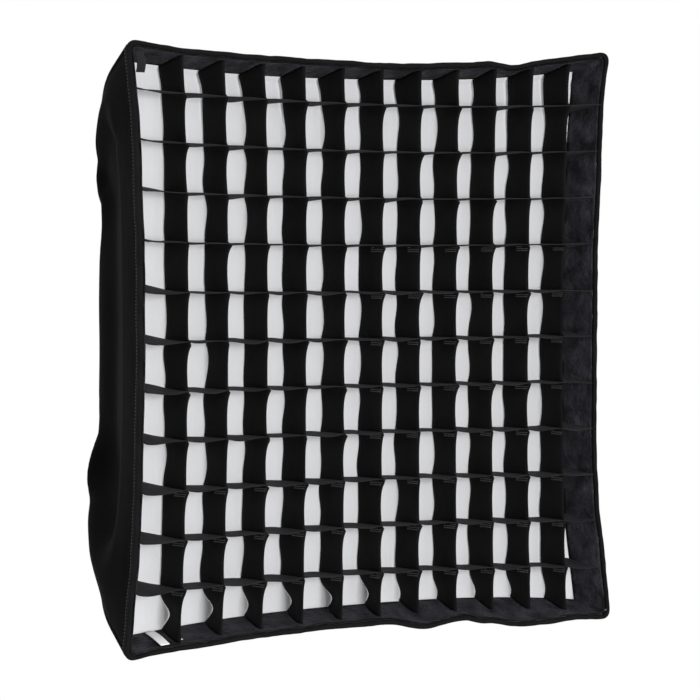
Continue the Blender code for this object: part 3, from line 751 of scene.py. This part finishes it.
# the rolled binding itself: the cross-section carried once round the mouth
bm = bmesh.new()
loops = []
for i in range(rim["points"]):
    s = i / rim["points"]
    loops.append([bm.verts.new(rimPlace(s, *spot)) for spot in rimSection])
count = len(rimSection)
uv = bm.loops.layers.uv.new("cloth")
for i, loop in enumerate(loops):
    after = loops[(i + 1) % len(loops)]
    for j in range(count):
        face = bm.faces.new((loop[j], loop[(j + 1) % count], after[(j + 1) % count], after[j]))
        for corner, (u, v) in zip(face.loops, ((i, j), (i, j + 1), (i + 1, j + 1), (i + 1, j))):
            corner[uv].uv = (u * rim["around"] / rim["points"], v * 0.0024)
bmesh.ops.recalc_face_normals(bm, faces=bm.faces)
bm.normal_update()
for vert in bm.verts:
    vert.co += vert.normal * (rim["lumps"] * ripple(vert.co, 120, 3) + rim["fineLumps"] * ripple(vert.co, 420, 8))
rimPiece = piece(bm, "rimBinding", cloth["binding"], "box", ["front_rim"])
rimPiece.modifiers.new("roundness", "SUBSURF").levels = 1

bm = bmesh.new()
around = int(rim["around"] / rim["stitchGap"])
stitchInset, stitchDepth = rim["stitchAt"]
for i in range(around):
    s, after = i / around, (i + 0.5) / around
    here, there = rimPlace(s, stitchInset, stitchDepth), rimPlace(after, stitchInset, stitchDepth)
    out = rimPlace(s, -0.0040, stitchDepth) - rimPlace(s, -0.0020, stitchDepth)
    addStitch(bm, here, there - here, out, rim["stitch"], rim["stitchSize"], rim["stitchSize"])
piece(bm, "bindingStitches", cloth["sewingThread"], "box", ())
print("binding made")

# front diffuser
diffuser = {
    "depth": 0.0346, "inset": 0.0046, "thickness": 0.0005, "segments": 150, "wrinkle": 0.0016, "tuckedIn": 0.001}


def diffuserRelief(x, z):
    # long upright wrinkles, deeper near the top and the sides; they only fall back from the grid
    edge = smooth(max(abs(x), abs(z)), 0.12, 0.28)
    long = 0.5 + 0.5 * ripple((x * 3.4, 0, z * 0.5), 9, 1)
    fine = 0.5 + 0.5 * ripple((x * 6.0, 0, z * 1.0), 9, 6)
    top = smooth(z, 0.2, 0.28)
    return diffuser["wrinkle"] * ((0.6 + 0.8 * edge) * long + 0.5 * fine * (0.4 + edge) + 2.2 * top * fine)


def layDiffuser(s, t):
    x, z = 2 * s - 1, 2 * t - 1
    half = wallOut(0.29, diffuser["depth"], diffuser["inset"])
    spanX = wallOut(z * half, diffuser["depth"] + diffuser["tuckedIn"], diffuser["inset"])
    spanZ = wallOut(x * half, diffuser["depth"] + diffuser["tuckedIn"], diffuser["inset"])
    place = Vector((x * spanX, 0, z * spanZ))
    fade = 1 - smooth(max(abs(x), abs(z)), 0.985, 1.0)
    place.y = frontY + diffuser["depth"] + diffuserRelief(place.x, place.z) * fade
    return hung(place)


bm = clothGrid(diffuser["segments"], diffuser["segments"], (0.58, 0.58), layDiffuser)
faceAway(bm, (0, 0, 0))
frontCloth = piece(bm, "diffuserCloth", cloth["diffusionCloth"], "diffuser", ["diffuser_cloth"],
                   diffuser["thickness"])
print("diffuser made")

# inner baffle, hung by its corners from the rods
baffle = {
    "bow": 0.012, "segments": 60, "thickness": 0.0005, "hem": 0.0012, "hemPoints": 40, "relief": 0.0006,
    "strapWave": 0.0003}
(bx0, by0, bz0), (bx1, by1, bz1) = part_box("baffle_cloth")


def layBaffle(s, t):
    x, z = 2 * s - 1, 2 * t - 1
    wide, high = bx1 - baffle["bow"] * (1 - z * z), bz1 - baffle["bow"] * (1 - x * x)
    relief = baffle["relief"] * (1 + ripple((x, 0, z), 3.2, 4)) * (1 - max(abs(x), abs(z)) ** 8)
    return hung(Vector((x * wide, (by0 + by1) / 2 + relief, z * high)))


bm = clothGrid(baffle["segments"], baffle["segments"], (0.37, 0.37), layBaffle)
faceAway(bm, (0, 0, 0))
baffleCloth = piece(bm, "baffleCloth", cloth["diffusionCloth"], "baffle", ["baffle_cloth"],
                    baffle["thickness"])
edge = []
for side in range(4):
    for i in range(baffle["hemPoints"]):
        a = i / baffle["hemPoints"]
        s, t = ((a, 0), (1, a), (1 - a, 1), (0, 1 - a))[side]
        edge.append(layBaffle(s, t))
bm = tubeAlong(edge, baffle["hem"], "hem", facets=8, closed=True)
hem = piece(bm, "baffleHem", cloth["webbing"], "baffle", ())
for corner in corners:
    node = f"baffle_strap_{corner}"
    bm = hang(fromFrame(node))
    longEdges = [edge for edge in bm.edges if edge.calc_length() > 0.011]
    bmesh.ops.subdivide_edges(bm, edges=longEdges, cuts=7, use_grid_fill=True)
    for vert in bm.verts:
        vert.co.y += baffle["strapWave"] * math.sin(vert.co.x * 900)
    piece(bm, f"baffleStrap_{corner}", cloth["webbing"], "baffle", [node], sharp=40)
print("baffle made")

# sewn pockets at the corners
for corner in corners:
    bm = hang(fromFrame(f"corner_pocket_{corner}"))
    bmesh.ops.subdivide_edges(bm, edges=bm.edges, cuts=1, use_grid_fill=True)
    bm.normal_update()
    for vert in bm.verts:
        vert.co += vert.normal * 0.0001 * ripple(vert.co, 300)
    piece(bm, f"cornerPocket_{corner}", cloth["webbing"], "box", [f"corner_pocket_{corner}"],
          sharp=40)

# rings, rods, tips, sockets and lock screws: (node, finish, body, slot, edge bevel)
hardware = [
    ("bayonet_ring", "turnedAluminium", "mount", "cast_aluminium", 0.0004),
    ("speed_ring", "castAluminium", "box", "cast_aluminium", 0.0005),
    ("retaining_ring", "turnedAluminium", "box", "cast_aluminium", 0.0003)]
for corner in corners:
    hardware.append((f"rod_{corner}", "springSteel", "box", "spring_steel", 0.0))
    hardware.append((f"rod_tip_{corner}", "blackPlastic", "box", "black_plastic", 0.0003))
    hardware.append((f"rod_socket_{corner}", "castAluminium", "box", "cast_aluminium", 0.0003))
for hand in ("left", "right"):
    hardware.append((f"lock_stud_{hand}", "springSteel", f"lock_stud_{hand}", "spring_steel", 0.0002))
    hardware.append((f"lock_knob_{hand}", "blackPlastic", f"lock_knob_{hand}", "black_plastic", 0.0004))
for node, finish, body, slotName, bevel in hardware:
    bm = fromFrame(node)
    if node.startswith("rod"):
        hang(bm)
    finished = node.replace("_", "") + "Finished"
    piece(bm, finished, hard[finish], body, [node], sharp=32, bevel=bevel)
print("hardware made")

# blank care label, laid over the lower band at the left, and its folded stub
label = {
    "x": -0.2737, "width": 0.0088, "length": 0.033, "from": -0.0067, "inset": 0.0054, "gap": 0.0012,
    "wallDepth": 0.0005, "curl": 0.0016, "skew": 0.002, "thickness": 0.0004}


def layLabel(s, t):
    x = label["x"] + label["width"] * s
    run = label["length"] * t
    lifted = label["gap"] + label["curl"] * math.sin(t * math.pi) * (0.6 + 0.4 * s)
    z = lifted - wallOut(x, label["wallDepth"] + run, label["inset"])
    return hung(Vector((x + label["skew"] * t * t, frontY + label["from"] + run, z)))


bm = clothGrid(8, 20, (label["width"], label["length"]), layLabel)
tag = piece(bm, "blankLabel", cloth["labelCloth"], "grid", (), label["thickness"])


stubCut = {"beside": 0.0222, "width": 0.006, "length": 0.008, "from": 0.002, "curl": 0.002}


def layStub(s, t):
    x = label["x"] + stubCut["beside"] + stubCut["width"] * s * (1 - 0.8 * t)
    depth = stubCut["from"] + stubCut["length"] * t
    z = label["gap"] + stubCut["curl"] * s * t - wallOut(x, depth, label["inset"])
    return hung(Vector((x, frontY + depth, z)))


bm = clothGrid(6, 6, (stubCut["width"], stubCut["length"]), layStub)
stub = piece(bm, "labelStub", cloth["labelCloth"], "grid", (), label["thickness"])

# webbing pull tab in the upper left corner, to peel the grid out by
tab = {
    "x": -0.3075, "top": 0.3010, "width": 0.0125, "length": 0.020, "front": 0.0088, "bulge": 0.0035,
    "turn": 0.004, "skew": 0.002, "thickness": 0.0009}


def layTab(s, t):
    x = tab["x"] + tab["width"] * s + tab["skew"] * t
    y = frontY - tab["front"] - tab["bulge"] * math.sin(math.pi * t) + tab["turn"] * s
    return hung(Vector((x, y, tab["top"] - tab["length"] * t)))


bm = clothGrid(6, 12, (tab["width"], tab["length"]), layTab)
pull = piece(bm, "pullTab", cloth["webbing"], "grid", (), tab["thickness"])
print("label and tab made")


# floor, light and camera
stage = {"radius": 1.7, "centre": (0, -0.2, -0.62)}


def makeStage():
    bm = bmesh.new()
    bmesh.ops.create_circle(bm, cap_ends=True, radius=stage["radius"], segments=96)
    bmesh.ops.translate(bm, verts=bm.verts, vec=stage["centre"])
    mesh = bpy.data.meshes.new("floor")
    bm.to_mesh(mesh)
    bm.free()
    floor = bpy.data.objects.new("floor", mesh)
    bpy.context.scene.collection.objects.link(floor)
    pale, _, _ = shaderOf("paleFloor", (0.93, 0.93, 0.93), 0.9)
    mesh.materials.append(pale)


def areaLight(name, place, target, size, power):
    data = bpy.data.lights.new(name, "AREA")
    data.shape = "RECTANGLE"
    data.size, data.size_y = size
    data.energy = power
    lamp = bpy.data.objects.new(name, data)
    bpy.context.scene.collection.objects.link(lamp)
    lamp.location = place
    lamp.rotation_euler = (Vector(target) - Vector(place)).to_track_quat("-Z", "Y").to_euler()


camera = {
    "azimuth": -36.40, "elevation": 1.66, "roll": 0.268, "distance": 4.0, "lens": 194.5,
    "across": -0.0343, "up": -0.0116}


def makeCamera():
    a, e = math.radians(camera["azimuth"]), math.radians(camera["elevation"])
    back = Vector((math.sin(a) * math.cos(e), -math.cos(a) * math.cos(e), math.sin(e)))
    right = Vector((0, 0, 1)).cross(back).normalized()
    up = back.cross(right)
    turn = Matrix.Rotation(math.radians(camera["roll"]), 3, back)
    right, up = turn @ right, turn @ up
    place = Vector((0, frontY + grid["front"], 0)) + back * camera["distance"]
    place += right * camera["across"] + up * camera["up"]
    data = bpy.data.cameras.new("camera")
    data.lens, data.sensor_width = camera["lens"], 36
    obj = bpy.data.objects.new("camera", data)
    bpy.context.scene.collection.objects.link(obj)
    obj.matrix_world = Matrix.Translation(place) @ Matrix((right, up, back)).transposed().to_4x4()
    bpy.context.scene.camera = obj


makeStage()
areaLight("keyLight", (-0.9, -6.0, 0.25), (0, -0.3, 0), (1.6, 1.6), 165)
areaLight("fillLight", (-2.2, -3.0, 1.2), (0, -0.3, 0), (1.6, 1.6), 4)
world = bpy.data.worlds.new("studio")
world.use_nodes = True
world.node_tree.nodes["Background"].inputs["Color"].default_value = (1, 1, 1, 1)
world.node_tree.nodes["Background"].inputs["Strength"].default_value = 1.0
bpy.context.scene.world = world
bpy.context.scene.view_settings.view_transform = "Standard"
makeCamera()
print("stage, light and camera made")
